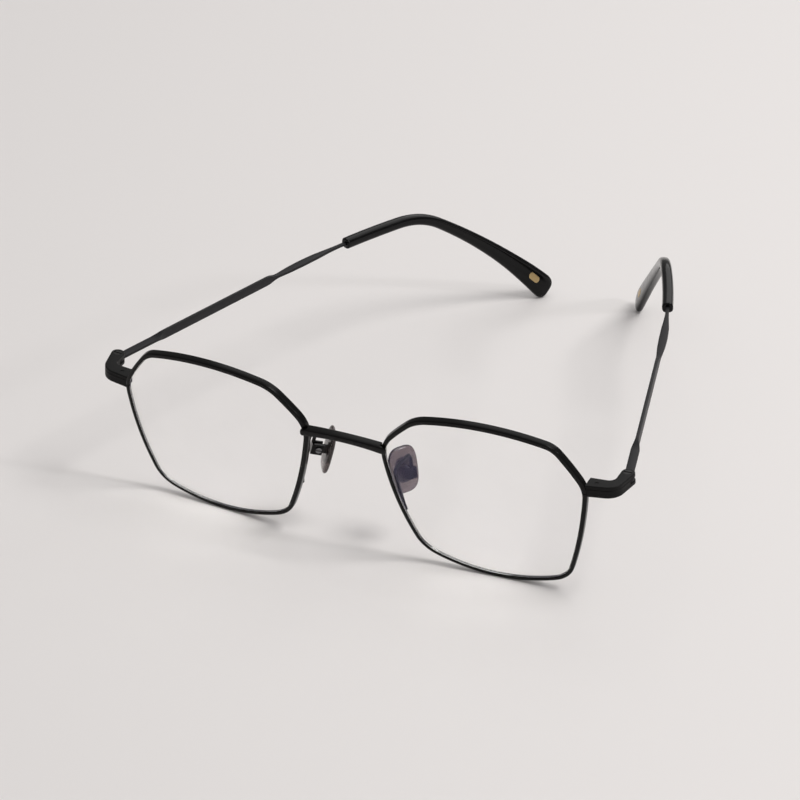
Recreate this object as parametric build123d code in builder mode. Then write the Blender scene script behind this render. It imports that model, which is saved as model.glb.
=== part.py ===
from build123d import *
from collections import namedtuple
from math import cos, degrees, pi, radians, sin, sqrt
import os

os.makedirs("parts", exist_ok=True)

# Square wire-rim eyeglasses, in millimetres and degrees.
# X runs across the face, Y runs back along the temples, Z is up.
# The glasses stand on the rim bottoms and on the ends of the temple tips.

# Eyes: six-sided rims on a shallow sphere
lens_box_width = 49.0
lens_box_height = 46.0
nose_gap = 19.6
front_tilt = 12.8
face_wrap = 3.75
base_radius = 179.0
apex_height_share = 0.418
rim_width = 1.0
rim_depth = 1.8
groove_depth = 0.32
groove_width = 0.7
slab_share = 0.72
rim_split = 0.16

# Corners of one eye, starting at the temple side and going over the top
corner_x_shares = (0.499, 0.348, -0.334, -0.515, -0.340, 0.391)
corner_y_shares = (0.706, 0.939, 0.943, 0.735, 0.104, 0.085)
side_bow_shares = (0.008, 0.049, 0.008, 0.025, 0.078, 0.019)
corner_radius_shares = (0.18, 0.125, 0.21, 0.173, 0.173, 0.138)

# Lenses
lens_thickness = 1.5
lens_play = 0.04
bevel_height = 0.25
bevel_width = 0.6

# Bridge bar, seated on the front of both rims
bridge_height_share = 0.7235
bridge_end_height = 2.1
bridge_middle_height = 1.6
bridge_rise = 0.7
bridge_ahead = 1.75
bridge_behind = 0.45
bridge_lug = 0.6
bridge_edge = 0.3

# Hinges
hinge_out = 7.3
hinge_y = 4.3
hinge_top_share = 0.7522
hinge_lean_in = 3.5
hinge_lean_forward = 2.4

# End pieces: two stacked halves with one knuckle plate each
block_height = 3.0
knuckle_radius = 1.65
arm_front = 8.7
arm_back = 4.7
arm_front_corner = 7.5
arm_back_corner = 4.4
elbow_outer = 0.15
elbow_inner_round = 1.6
elbow_round = 0.8
block_edge = 0.28
block_line_radius = 0.11
seam_gap = 0.06
slot_margin = 0.3

# Temple tongue, washers and hinge screw
tongue_thickness = 0.8
tongue_radius = 1.5
washer_thickness = 0.12
washer_radius = 1.4
running_gap = 0.02
hinge_screw_radius = 0.55
hinge_head_radius = 1.0
hinge_head_height = 0.45
bore_play = 0.04

# Screw that closes the rim through both halves of the end piece
lock_screw_radius = 0.5
lock_head_radius = 0.95
lock_head_height = 0.55
lock_screw_x = 4.9
lock_screw_y = 6.7
lock_cover = 0.5
dimple_radius = 0.55
dimple_depth = 0.1
screw_short = 0.3

# Temples: flat plate, upright ribbon, flat spindle, thin neck
temple_rest_left = 18.4
temple_rest_right = 14.0
plate_width = 2.1
plate_end = 12.5
pinch_length = 2.4
ribbon_thickness = 0.8
ribbon_height = 2.5
ribbon_end = 51.5
paddle_width = 2.1
paddle_root_share = 0.55
paddle_shoulder_share = 0.9
paddle_end = 72.5
neck_width = 0.9
neck_start = 75.0
bar_edge = 0.15

# Course of the temple behind the paddle
tip_start = 78.0
temple_length = 154.1
inward_start = 59.3
inward_radius = 203.0
ear_bend_start = 95.4
ear_bend_radius = 23.3
ear_bend_left = 33.63
ear_bend_right = 35.2
tail_radius = 200.0
course_steps = 120

# Temple tips
tip_thick = 2.5
tip_tall = 7.0
tip_sides = 12
tip_at_shares = (0.0, 0.12, 0.26, 0.43, 0.60, 0.77, 0.90, 0.96, 1.0)
tip_tall_shares = (0.40, 0.40, 0.39, 0.42, 0.50, 0.64, 0.82, 0.90, 0.62)
tip_thick_shares = (1.12, 1.14, 1.12, 1.08, 1.04, 1.0, 0.96, 0.86, 0.60)
tip_squareness = 0.72
core_length = 14.0
core_play = 0.03
inlay_length = 4.0
inlay_height = 1.9
inlay_depth = 0.3
inlay_from_end = 7.2

# Nose pads, placed by their centres
pad_out = 0.15
pad_centre_y = 4.5
pad_height_share = 0.4652
pad_splay = 32.0
pad_pitch = 14.0
pad_width = 7.8
pad_height = 11.5
pad_corner = 3.3
pad_thickness = 1.6
pad_edge = 0.9
pad_core_width = 4.4
pad_core_height = 6.2
pad_core_corner = 2.0
pad_core_thickness = 0.7
pad_tab_thickness = 1.1
pad_tab_radius = 0.95
pad_axis_behind = 1.75

# Box that holds each pad, and its screw
ear_thickness = 0.5
ear_play = 0.06
box_height = 2.7
box_web = 0.5
box_room = 0.3
box_reach = 1.0
pad_screw_radius = 0.4
pad_head_radius = 0.75
pad_head_height = 0.35

# Wire arm from the rim to the pad box
arm_wire_radius = 0.45
arm_foot_x_share = -0.423
arm_foot_y_share = 0.318
arm_knee_x_share = -0.468
arm_knee_y_share = 0.56
braze_bite = 0.12
arm_loop_rise = 3.6
arm_loop_ahead = 3.6
arm_bend_radius = 1.3

cut_over = 4.0


def eye_plane():
    """Plane of the right eye: origin below the lens, Z forward, Y up along the lens."""
    wrap = radians(face_wrap)
    tilt = radians(front_tilt)
    across = Vector(cos(wrap), sin(wrap), 0)
    forward = Vector(sin(wrap) * cos(tilt), -cos(wrap) * cos(tilt), -sin(tilt) * cos(wrap))
    origin = (nose_gap / 2 + lens_box_width / 2, 0, 0)
    return Plane(origin=origin, x_dir=across, z_dir=forward)


def temple_heading(ear_bend, at):
    """Unit direction of the temple's centreline at one length."""
    bend_arc = ear_bend_radius * radians(ear_bend)
    turn = max(at - inward_start, 0) / inward_radius
    drop = min(max(at - ear_bend_start, 0), bend_arc) / ear_bend_radius
    drop += max(at - ear_bend_start - bend_arc, 0) / tail_radius
    return (cos(drop) * sin(turn), cos(drop) * cos(turn), -sin(drop))


def course(ear_bend, length):
    """Centre and heading of the temple at a length from the hinge: inward, back, up."""
    inward, back, up = 0.0, 0.0, 0.0
    for index in range(course_steps):
        heading = temple_heading(ear_bend, length * (index + 0.5) / course_steps)
        inward += heading[0] * length / course_steps
        back += heading[1] * length / course_steps
        up += heading[2] * length / course_steps
    return (inward, back, up), temple_heading(ear_bend, length)


right_eye = eye_plane()


def sag(x, y):
    """Depth of the lens sphere behind the eye plane's apex level."""
    rise = y - rim_width / 2 - lens_box_height * apex_height_share
    return base_radius - sqrt(base_radius**2 - x**2 - rise**2)


def eye_point(x, y, behind):
    """World point at eye coordinates x and y, behind the middle of the rim."""
    return right_eye.from_local_coords(Vector(x, y, -sag(x, y) - behind))


# Outline of the middle of the rim
corners = []
for x_share, y_share in zip(corner_x_shares, corner_y_shares):
    corner_y = rim_width / 2 + lens_box_height * y_share
    corners.append(Vector(lens_box_width * x_share, corner_y))

def eye_outline(spread):
    """Outline of the middle of the rim, grown by spread: six bowed sides and round corners."""
    with BuildSketch() as outline:
        with BuildLine():
            for index, bow_share in enumerate(side_bow_shares):
                start = corners[index]
                end = corners[(index + 1) % len(corners)]
                SagittaArc(start, end, -lens_box_width * bow_share)
        make_face()
        offset(amount=spread, kind=Kind.INTERSECTION, mode=Mode.REPLACE)
        for corner, radius_share in zip(corners, corner_radius_shares):
            sharp = outline.vertices().sort_by_distance(corner)[0]
            fillet(sharp, lens_box_width * radius_share + spread)
    return outline.sketch


def eye_prism(spread, reach):
    """Solid on the eye outline, grown by spread, that reaches to the front and back."""
    with BuildPart() as prism:
        with BuildSketch(right_eye.offset(-reach)):
            add(eye_outline(spread))
        extrude(amount=2 * reach)
    return prism.part


def curved_slab(front, back):
    """Slab between two copies of the lens curve, front and back of the middle of the rim."""
    half_turn = lens_box_width * slab_share / base_radius
    up = right_eye.y_dir
    ahead = right_eye.z_dir * cos(half_turn) - right_eye.x_dir * sin(half_turn)
    apex = right_eye.from_local_coords(
        Vector(0, rim_width / 2 + lens_box_height * apex_height_share, 0)
    )
    centre = apex - right_eye.z_dir * base_radius
    profile_plane = Plane(origin=centre, x_dir=ahead, z_dir=ahead.cross(up))
    heights = [lens_box_height * slab_share * step for step in (-1, -0.5, 0, 0.5, 1)]
    with BuildPart() as slab:
        with BuildSketch(profile_plane):
            with BuildLine():
                outer = Spline([(sqrt((base_radius + front) ** 2 - h**2), h) for h in heights])
                inner = Spline([(sqrt((base_radius + back) ** 2 - h**2), h) for h in heights])
                Line(outer @ 0, inner @ 0)
                Line(outer @ 1, inner @ 1)
            make_face()
        revolve(axis=Axis(centre, up), revolution_arc=degrees(2 * half_turn))
    return slab.part


def curved_plate(spread, thickness):
    """Piece of a curved slab inside the eye outline grown by spread."""
    prism = eye_prism(spread, eye_reach)
    slab = curved_slab(thickness / 2, -thickness / 2)
    with BuildPart() as plate:
        add(prism)
        add(slab, mode=Mode.INTERSECT)
    return plate.part


eye_reach = rim_depth + cut_over
rim_plate = curved_plate(rim_width / 2, rim_depth)
rim_opening = eye_prism(-rim_width / 2, eye_reach + cut_over)
rim_groove = curved_plate(groove_depth - rim_width / 2, groove_width)
outside_eye = eye_prism(rim_width / 2, eye_reach + block_height)


hinge_x = nose_gap / 2 + lens_box_width + hinge_out
hinge_top = lens_box_height * hinge_top_share


def hinge_plane(turn):
    """Plane of the right hinge: Z along the leaning pin, Y back along a temple turned in."""
    lean_in = radians(hinge_lean_in)
    lean_forward = radians(hinge_lean_forward)
    pin = Vector(-sin(lean_in), -sin(lean_forward), cos(lean_in) * cos(lean_forward))
    across = Vector(cos(radians(turn)), sin(radians(turn)), 0)
    origin = (hinge_x, hinge_y, hinge_top - block_height / 2)
    return Plane(origin=origin, x_dir=across - pin * across.dot(pin), z_dir=pin)


block_plane = hinge_plane(0)
slot_height = tongue_thickness + 2 * washer_thickness + 4 * running_gap
block_root = hinge_out + rim_width
seam_drop = (slot_height - seam_gap) / 2

# Rims, split in line with the seam of the end piece
with BuildPart() as rim_right:
    add(rim_plate)
    add(rim_opening, mode=Mode.SUBTRACT)
    add(rim_groove, mode=Mode.SUBTRACT)
    with BuildSketch(block_plane.offset(-seam_drop)):
        with Locations((-block_root, -arm_back)):
            Rectangle(4 * rim_width, arm_front)
    extrude(amount=rim_split / 2, both=True, mode=Mode.SUBTRACT)

with BuildPart() as rim_left:
    mirror(rim_right.part, about=Plane.YZ)

# Lenses, with a bevel that runs in the groove of the rim
lens_body = curved_plate(-rim_width / 2 - lens_play, lens_thickness)
lens_bevel = curved_plate(bevel_height - rim_width / 2, bevel_width)

with BuildPart() as lens_right:
    add(lens_body)
    add(lens_bevel)

with BuildPart() as lens_left:
    mirror(lens_right.part, about=Plane.YZ)

# Bridge: an arched bar whose rounded ends lie over the front of both rims
tilt = radians(front_tilt)
bridge_plane = Plane(origin=(0, 0, 0), x_dir=(1, 0, 0), z_dir=(0, -cos(tilt), -sin(tilt)))
bridge_y = rim_width / 2 + lens_box_height * bridge_height_share
bridge_joint = eye_point(-lens_box_width / 2, bridge_y, 0)
joint_depth = bridge_plane.to_local_coords(bridge_joint).Z
bridge_end_x = nose_gap / 2 + rim_width / 2 + bridge_lug
middle_top = bridge_y + bridge_rise + bridge_middle_height / 2
middle_bottom = bridge_y + bridge_rise - bridge_middle_height / 2
end_top = bridge_y + bridge_end_height / 2
end_bottom = bridge_y - bridge_end_height / 2

with BuildPart() as bridge:
    with BuildSketch(bridge_plane.offset(joint_depth - bridge_behind)) as bridge_face:
        with BuildLine():
            ThreePointArc((-bridge_end_x, end_top), (0, middle_top), (bridge_end_x, end_top))
            Line((bridge_end_x, end_top), (bridge_end_x, end_bottom))
            ThreePointArc((bridge_end_x, end_bottom), (0, middle_bottom), (-bridge_end_x, end_bottom))
            Line((-bridge_end_x, end_bottom), (-bridge_end_x, end_top))
        make_face()
        fillet(bridge_face.vertices(), bridge_lug)
    extrude(amount=bridge_behind + bridge_ahead)
    fillet(bridge.edges().filter_by(GeomType.CIRCLE), bridge_edge)
    mirror(rim_plate, about=Plane.YZ, mode=Mode.SUBTRACT)
    split(bisect_by=Plane.YZ, keep=Keep.BOTTOM)
    mirror(about=Plane.YZ)

# End pieces: an upper half with the slot for the temple, and a flat lower half under it.
# Their plan is an arm out from the rim and a leg back to the knuckle
with BuildSketch() as block_plan:
    with BuildLine():
        Polyline(
            (-knuckle_radius, 0),
            (-knuckle_radius, -arm_back_corner),
            (-block_root, -arm_back),
            (-block_root, -arm_front),
            (elbow_outer, -arm_front_corner),
            (knuckle_radius, 0),
            close=True,
        )
    make_face()
    elbow = block_plan.vertices().sort_by_distance((elbow_outer, -arm_front_corner))[0]
    fillet(elbow, elbow_round)
    crook = block_plan.vertices().sort_by_distance((-knuckle_radius, -arm_back_corner))[0]
    fillet(crook, elbow_inner_round)
    Circle(knuckle_radius)


def block_half(floor, roof):
    """Half of the right end piece between two levels, with its outer edge rounded."""
    side = 1 if roof > floor else -1
    with BuildPart() as half:
        with BuildSketch(block_plane.offset(floor)):
            add(block_plan.sketch)
        extrude(amount=roof - floor)
        top = half.faces().sort_by(Axis(block_plane.origin, block_plane.z_dir * side))[-1]
        fillet(top.edges(), block_edge)
        with BuildSketch(block_plane):
            Circle(hinge_screw_radius + bore_play)
        extrude(amount=block_height, both=True, mode=Mode.SUBTRACT)
        add(outside_eye, mode=Mode.SUBTRACT)
    return half.part


slot_front = tongue_radius + slot_margin
slot_length = slot_front + knuckle_radius + slot_margin
lock_top = block_height / 2 - lock_cover

with BuildPart() as endpiece_upper_right:
    add(block_half(seam_gap / 2 - seam_drop, block_height / 2))
    with BuildSketch(block_plane):
        with Locations((0, slot_length / 2 - slot_front)):
            Rectangle(3 * knuckle_radius, slot_length)
    extrude(amount=slot_height / 2, both=True, mode=Mode.SUBTRACT)
    with BuildSketch(block_plane.offset(block_height / 2 - hinge_head_height)):
        Circle(hinge_head_radius + bore_play)
    extrude(amount=block_height, mode=Mode.SUBTRACT)
    with BuildSketch(block_plane.offset(lock_top)):
        with Locations((-lock_screw_x, -lock_screw_y)):
            Circle(lock_screw_radius + bore_play)
    extrude(amount=-block_height, mode=Mode.SUBTRACT)
    with BuildSketch(block_plane.offset(block_height / 2 - dimple_depth)):
        with Locations((-lock_screw_x, -lock_screw_y)):
            Circle(dimple_radius)
    extrude(amount=block_height, mode=Mode.SUBTRACT)
    with BuildLine(block_plane.offset(slot_height / 2)) as block_line:
        FilletPolyline(
            (-block_root, -arm_front),
            (elbow_outer, -arm_front_corner),
            (knuckle_radius, 0),
            radius=elbow_round,
        )
    with BuildSketch(Plane(origin=block_line.line @ 0, z_dir=block_line.line % 0)):
        Circle(block_line_radius)
    sweep(path=block_line.line, mode=Mode.SUBTRACT)

with BuildPart() as endpiece_upper_left:
    mirror(endpiece_upper_right.part, about=Plane.YZ)

with BuildPart() as endpiece_lower_right:
    add(block_half(-seam_gap / 2 - seam_drop, -block_height / 2))
    with BuildSketch(block_plane):
        with Locations((-lock_screw_x, -lock_screw_y)):
            Circle(lock_screw_radius + bore_play)
    extrude(amount=-block_height, mode=Mode.SUBTRACT)
    with BuildSketch(block_plane.offset(lock_head_height - block_height / 2)):
        with Locations((-lock_screw_x, -lock_screw_y)):
            Circle(lock_head_radius + bore_play)
    extrude(amount=-block_height, mode=Mode.SUBTRACT)

with BuildPart() as endpiece_lower_left:
    mirror(endpiece_lower_right.part, about=Plane.YZ)


def screw(seat, radius, head_radius, head_height, shank_length):
    """Slotted screw: its head stands on the seat plane and its shank goes down from there."""
    with BuildPart() as made:
        with BuildSketch(seat):
            Circle(head_radius)
        extrude(amount=head_height)
        with BuildSketch(seat):
            Circle(radius)
        extrude(amount=-shank_length)
        with BuildSketch(seat.offset(head_height / 2)):
            Rectangle(2 * head_radius + head_height, head_radius / 3)
        extrude(amount=head_height, mode=Mode.SUBTRACT)
    return made.part


hinge_seat = block_plane.offset(block_height / 2 - hinge_head_height)
lock_place = block_plane.from_local_coords(
    Vector(-lock_screw_x, -lock_screw_y, lock_head_height - block_height / 2)
)
lock_seat = Plane(origin=lock_place, x_dir=block_plane.x_dir, z_dir=-block_plane.z_dir)

with BuildPart() as hinge_screw_right:
    shank = block_height - hinge_head_height - screw_short
    add(screw(hinge_seat, hinge_screw_radius, hinge_head_radius, hinge_head_height, shank))

with BuildPart() as hinge_screw_left:
    mirror(hinge_screw_right.part, about=Plane.YZ)

with BuildPart() as rim_screw_right:
    shank = block_height - lock_head_height - lock_cover - screw_short
    add(screw(lock_seat, lock_screw_radius, lock_head_radius, lock_head_height, shank))

with BuildPart() as rim_screw_left:
    mirror(rim_screw_right.part, about=Plane.YZ)

# Nose pads: soft pad, hard core with a tab, box round the tab, screw and wire arm
splay = radians(pad_splay)
pitch = radians(pad_pitch)
pad_facing = Vector(-cos(splay) * cos(pitch), sin(splay) * cos(pitch), -sin(pitch))
pad_along = Vector(-sin(splay), -cos(splay), 0)
pad_centre = Vector(nose_gap / 2 + pad_out, pad_centre_y, lens_box_height * pad_height_share)
pad_plane = Plane(origin=pad_centre, x_dir=pad_along, z_dir=pad_facing)
axis_place = pad_centre - pad_facing * (pad_thickness / 2 + pad_axis_behind)
axis_plane = Plane(origin=axis_place, x_dir=pad_facing, z_dir=pad_along)
tab_space = pad_tab_thickness / 2 + ear_play
box_half = tab_space + ear_thickness
web_front = pad_tab_radius + box_room

with BuildPart() as pad_core_right:
    with BuildSketch(pad_plane):
        RectangleRounded(pad_core_width, pad_core_height, pad_core_corner)
    extrude(amount=pad_core_thickness / 2, both=True)
    with BuildSketch(axis_plane):
        Circle(pad_tab_radius)
        with Locations((pad_axis_behind / 2 + pad_thickness / 4, 0)):
            Rectangle(pad_axis_behind + pad_thickness / 2, 2 * pad_tab_radius)
    extrude(amount=pad_tab_thickness / 2, both=True)
    with BuildSketch(axis_plane):
        Circle(pad_screw_radius + bore_play)
    extrude(amount=pad_tab_thickness, both=True, mode=Mode.SUBTRACT)

with BuildPart() as nose_pad_right:
    with BuildSketch(pad_plane.offset(-pad_thickness / 2)):
        RectangleRounded(pad_width, pad_height, pad_corner)
    extrude(amount=pad_thickness)
    rims_of_pad = nose_pad_right.faces().sort_by(Axis(pad_centre, pad_facing))
    fillet(rims_of_pad[-1].edges(), pad_edge)
    fillet(nose_pad_right.faces().sort_by(Axis(pad_centre, pad_facing))[0].edges(), pad_edge / 2)
    add(pad_core_right.part, mode=Mode.SUBTRACT)

with BuildPart() as pad_box_right:
    with BuildSketch(axis_plane):
        with Locations(((box_reach - web_front - box_web) / 2, 0)):
            Rectangle(box_reach + web_front + box_web, box_height)
    extrude(amount=box_half, both=True)
    with BuildSketch(axis_plane):
        Rectangle(2 * web_front, 2 * box_height)
    extrude(amount=tab_space, both=True, mode=Mode.SUBTRACT)
    with BuildSketch(axis_plane):
        Circle(pad_screw_radius + bore_play)
    extrude(amount=2 * box_half, both=True, mode=Mode.SUBTRACT)

with BuildPart() as pad_screw_right:
    pad_seat = axis_plane.offset(box_half)
    add(screw(pad_seat, pad_screw_radius, pad_head_radius, pad_head_height, 2 * box_half))

box_top = axis_plane.from_local_coords(Vector(-web_front - box_web / 2, -box_height / 2, 0))
box_up = (box_top - axis_plane.from_local_coords(Vector(-web_front - box_web / 2, 0, 0))).normalized()
foot_x = lens_box_width * arm_foot_x_share
foot_y = rim_width / 2 + lens_box_height * arm_foot_y_share
knee_x = lens_box_width * arm_knee_x_share
knee_y = rim_width / 2 + lens_box_height * arm_knee_y_share
wire_behind = rim_depth / 2 + arm_wire_radius - braze_bite
arm_loop_back = box_top + box_up * arm_loop_rise
arm_loop_front = arm_loop_back - Vector(0, arm_loop_ahead, 0)

with BuildPart() as pad_arm_right:
    with BuildLine() as arm_course:
        FilletPolyline(
            eye_point(foot_x, foot_y, wire_behind),
            eye_point(knee_x, knee_y, wire_behind + arm_wire_radius),
            arm_loop_front,
            arm_loop_back,
            box_top,
            radius=arm_bend_radius,
        )
    with BuildSketch(Plane(origin=arm_course.line @ 0, z_dir=arm_course.line % 0)):
        Circle(arm_wire_radius)
    sweep(path=arm_course.line)
    add(rim_right.part, mode=Mode.SUBTRACT)

with BuildPart() as pad_core_left:
    mirror(pad_core_right.part, about=Plane.YZ)
with BuildPart() as nose_pad_left:
    mirror(nose_pad_right.part, about=Plane.YZ)
with BuildPart() as pad_box_left:
    mirror(pad_box_right.part, about=Plane.YZ)
with BuildPart() as pad_screw_left:
    mirror(pad_screw_right.part, about=Plane.YZ)
with BuildPart() as pad_arm_left:
    mirror(pad_arm_right.part, about=Plane.YZ)


Temple = namedtuple("Temple", "frame ear_bend")
right_temple = Temple(hinge_plane(temple_rest_right), ear_bend_right)
left_temple = Temple(hinge_plane(temple_rest_left), ear_bend_left)


def across_temple(temple, length):
    """Plane square to the temple at a length: X outward, Y up, Z toward the hinge."""
    frame = temple.frame
    centre, heading = course(temple.ear_bend, length)
    origin = frame.from_local_coords(Vector(-centre[0], centre[1], centre[2]))
    y_dir = frame.z_dir.cross(frame.x_dir)
    along = frame.x_dir * -heading[0] + y_dir * heading[1] + frame.z_dir * heading[2]
    outward = frame.x_dir - along * frame.x_dir.dot(along)
    return Plane(origin=origin, x_dir=outward, z_dir=-along)


def bar_sections(grow):
    """Length, width and height of the bar behind its plate, each grown all round."""
    ribbon_from = plate_end + pinch_length
    paddle_from = ribbon_end + pinch_length
    paddle_quarter = (paddle_end - paddle_from) / 4
    sections = [
        (plate_end, plate_width, tongue_thickness),
        (ribbon_from, ribbon_thickness, ribbon_height),
        (ribbon_end, ribbon_thickness, ribbon_height),
        (paddle_from, paddle_width * paddle_root_share, tongue_thickness),
        (paddle_from + paddle_quarter, paddle_width * paddle_shoulder_share, tongue_thickness),
        (paddle_from + 2 * paddle_quarter, paddle_width, tongue_thickness),
        (paddle_end - paddle_quarter, paddle_width * paddle_shoulder_share, tongue_thickness),
        (paddle_end, paddle_width * paddle_root_share, tongue_thickness),
        (neck_start, neck_width, tongue_thickness),
        (tip_start, neck_width, tongue_thickness),
        (tip_start + core_length / 2, neck_width, tongue_thickness),
        (tip_start + core_length, neck_width, tongue_thickness),
    ]
    return [(at, wide + 2 * grow, tall + 2 * grow) for at, wide, tall in sections]


def bar_body(temple, grow):
    """Loft of the bar behind its plate."""
    with BuildPart() as body:
        for at, wide, tall in bar_sections(grow):
            with BuildSketch(across_temple(temple, at)):
                RectangleRounded(wide, tall, bar_edge + grow)
        loft(ruled=True)
    return body.part


def temple_bar(temple):
    """Tongue with its eye, flat plate, ribbon, paddle, neck and the core inside the tip."""
    body = bar_body(temple, 0)
    with BuildPart() as bar:
        with BuildSketch(temple.frame.offset(-tongue_thickness / 2)):
            Circle(tongue_radius)
            with Locations((0, plate_end / 2)):
                Rectangle(plate_width, plate_end)
            Circle(hinge_screw_radius + bore_play, mode=Mode.SUBTRACT)
        extrude(amount=tongue_thickness)
        add(body)
    return bar.part


def tip_section(thick, tall):
    """Points round a section that is rounder than a rectangle and fuller than an ellipse."""
    points = []
    for index in range(tip_sides):
        turn = 2 * pi * (index + 0.5) / tip_sides
        across = cos(turn)
        rise = sin(turn)
        points.append(
            (
                thick / 2 * abs(across) ** tip_squareness * (1 if across > 0 else -1),
                tall / 2 * abs(rise) ** tip_squareness * (1 if rise > 0 else -1),
            )
        )
    return points


def tip_body(temple):
    """Loft of a temple tip: round at the front, a tall flat paddle at the end."""
    tip_length = temple_length - tip_start
    with BuildPart() as body:
        for at_share, tall_share, thick_share in zip(tip_at_shares, tip_tall_shares, tip_thick_shares):
            points = tip_section(tip_thick * thick_share, tip_tall * tall_share)
            with BuildSketch(across_temple(temple, tip_start + tip_length * at_share)):
                with BuildLine():
                    Spline(points, periodic=True)
                make_face()
        loft()
    return body.part


def inlay_plane(temple):
    """Plane on the inner face of the tip, at the floor of the inlay: Z toward the head."""
    section = across_temple(temple, temple_length - inlay_from_end)
    inward = -section.x_dir
    place = section.origin + inward * (tip_thick / 2 - inlay_depth)
    return Plane(origin=place, x_dir=section.z_dir, z_dir=inward)


def temple_tip(temple):
    """Tip with its bore for the core and the recess for the inlay."""
    body = tip_body(temple)
    bore = bar_body(temple, core_play)
    with BuildPart() as tip:
        add(body)
        add(bore, mode=Mode.SUBTRACT)
        with BuildSketch(inlay_plane(temple)):
            SlotOverall(inlay_length, inlay_height)
        extrude(amount=tip_thick, mode=Mode.SUBTRACT)
    return tip.part


def tip_inlay(temple):
    """Plain oval plate set in the inner face of the tip."""
    with BuildPart() as inlay:
        with BuildSketch(inlay_plane(temple)):
            SlotOverall(inlay_length - 2 * core_play, inlay_height - 2 * core_play)
        extrude(amount=inlay_depth)
    return inlay.part


def hinge_washers(temple):
    """Two thin rings, one above and one below the tongue."""
    with BuildPart() as washers:
        for side in (-1, 1):
            with BuildSketch(temple.frame.offset(side * (tongue_thickness / 2 + running_gap))):
                Circle(washer_radius)
                Circle(hinge_screw_radius + bore_play, mode=Mode.SUBTRACT)
            extrude(amount=side * washer_thickness)
    return washers.part


with BuildPart() as temple_bar_right:
    add(temple_bar(right_temple))
with BuildPart() as temple_bar_left:
    mirror(temple_bar(left_temple), about=Plane.YZ)
with BuildPart() as temple_tip_right:
    add(temple_tip(right_temple))
with BuildPart() as temple_tip_left:
    mirror(temple_tip(left_temple), about=Plane.YZ)
with BuildPart() as tip_inlay_right:
    add(tip_inlay(right_temple))
with BuildPart() as tip_inlay_left:
    mirror(tip_inlay(left_temple), about=Plane.YZ)
with BuildPart() as hinge_washers_right:
    add(hinge_washers(right_temple))
with BuildPart() as hinge_washers_left:
    mirror(hinge_washers(left_temple), about=Plane.YZ)

pieces = {
    "rim_left": rim_left,
    "rim_right": rim_right,
    "lens_left": lens_left,
    "lens_right": lens_right,
    "bridge": bridge,
    "endpiece_upper_left": endpiece_upper_left,
    "endpiece_upper_right": endpiece_upper_right,
    "endpiece_lower_left": endpiece_lower_left,
    "endpiece_lower_right": endpiece_lower_right,
    "rim_screw_left": rim_screw_left,
    "rim_screw_right": rim_screw_right,
    "hinge_screw_left": hinge_screw_left,
    "hinge_screw_right": hinge_screw_right,
    "hinge_washers_left": hinge_washers_left,
    "hinge_washers_right": hinge_washers_right,
    "temple_bar_left": temple_bar_left,
    "temple_bar_right": temple_bar_right,
    "temple_tip_left": temple_tip_left,
    "temple_tip_right": temple_tip_right,
    "tip_inlay_left": tip_inlay_left,
    "tip_inlay_right": tip_inlay_right,
    "pad_arm_left": pad_arm_left,
    "pad_arm_right": pad_arm_right,
    "pad_box_left": pad_box_left,
    "pad_box_right": pad_box_right,
    "pad_screw_left": pad_screw_left,
    "pad_screw_right": pad_screw_right,
    "pad_core_left": pad_core_left,
    "pad_core_right": pad_core_right,
    "nose_pad_left": nose_pad_left,
    "nose_pad_right": nose_pad_right,
}

# The origin is the middle of the footprint, on the surface that the glasses stand on
whole = Compound([piece.part for piece in pieces.values()]).bounding_box()
to_origin = Location((0, -(whole.min.Y + whole.max.Y) / 2, -whole.min.Z))
print("shift to the origin", to_origin.position)

for name, piece in pieces.items():
    placed = piece.part.moved(to_origin)
    placed.label = name
    export_step(placed, f"parts/{name}.step")
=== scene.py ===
# %% [markdown]
# # Square eyeglasses in Blender
# The glasses lie open on a pale table: two thin black rims with clear lenses, an arched
# bridge, two soft nose pads on wire arms, two folding temples and their glossy ear tips.
# The small fittings come from the CAD frame and only get a finish. The long curved pieces
# are worked out again here with numpy, because a smooth skin catches the light the way a
# drawn wire does.

# %% Load the frame
import math

import bpy
import numpy as np
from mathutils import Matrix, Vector


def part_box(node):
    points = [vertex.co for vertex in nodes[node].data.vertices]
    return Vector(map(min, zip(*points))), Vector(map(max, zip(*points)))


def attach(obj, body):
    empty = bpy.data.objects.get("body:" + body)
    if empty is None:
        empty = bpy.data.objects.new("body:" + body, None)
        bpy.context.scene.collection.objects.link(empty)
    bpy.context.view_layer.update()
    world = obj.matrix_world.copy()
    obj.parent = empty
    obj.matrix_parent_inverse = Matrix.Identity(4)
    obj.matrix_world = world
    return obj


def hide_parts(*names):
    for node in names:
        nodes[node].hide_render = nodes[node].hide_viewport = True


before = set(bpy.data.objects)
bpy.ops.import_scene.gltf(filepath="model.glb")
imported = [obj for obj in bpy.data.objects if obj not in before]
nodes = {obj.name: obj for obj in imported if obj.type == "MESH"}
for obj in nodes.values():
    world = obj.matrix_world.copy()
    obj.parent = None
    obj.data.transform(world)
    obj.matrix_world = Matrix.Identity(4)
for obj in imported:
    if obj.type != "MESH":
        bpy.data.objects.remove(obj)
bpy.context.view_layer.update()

MM = 0.001
print("CAD nodes:", len(nodes))

# %% [markdown]
# ## Camera
# The photograph was taken from the front, from the wearer's left and above, with a long
# lens: the parallel edges of the two rims hardly converge. The camera could be moved until
# the picture looks right, but it is surer to set it by its azimuth, its height angle and
# its distance from a point between the pads and the ear tips.

# %% Camera
VIEW_AZIMUTH = 24.815
VIEW_HEIGHT_ANGLE = 30.149
VIEW_DISTANCE = 880.66 * MM
VIEW_LENS = 162.35
SHIFT_Y = -64.4204
SHIFT_Z = -0.5198
VIEW_TARGET = Vector((-6.264, 36.949 + SHIFT_Y, 18.70 + SHIFT_Z)) * MM


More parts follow.
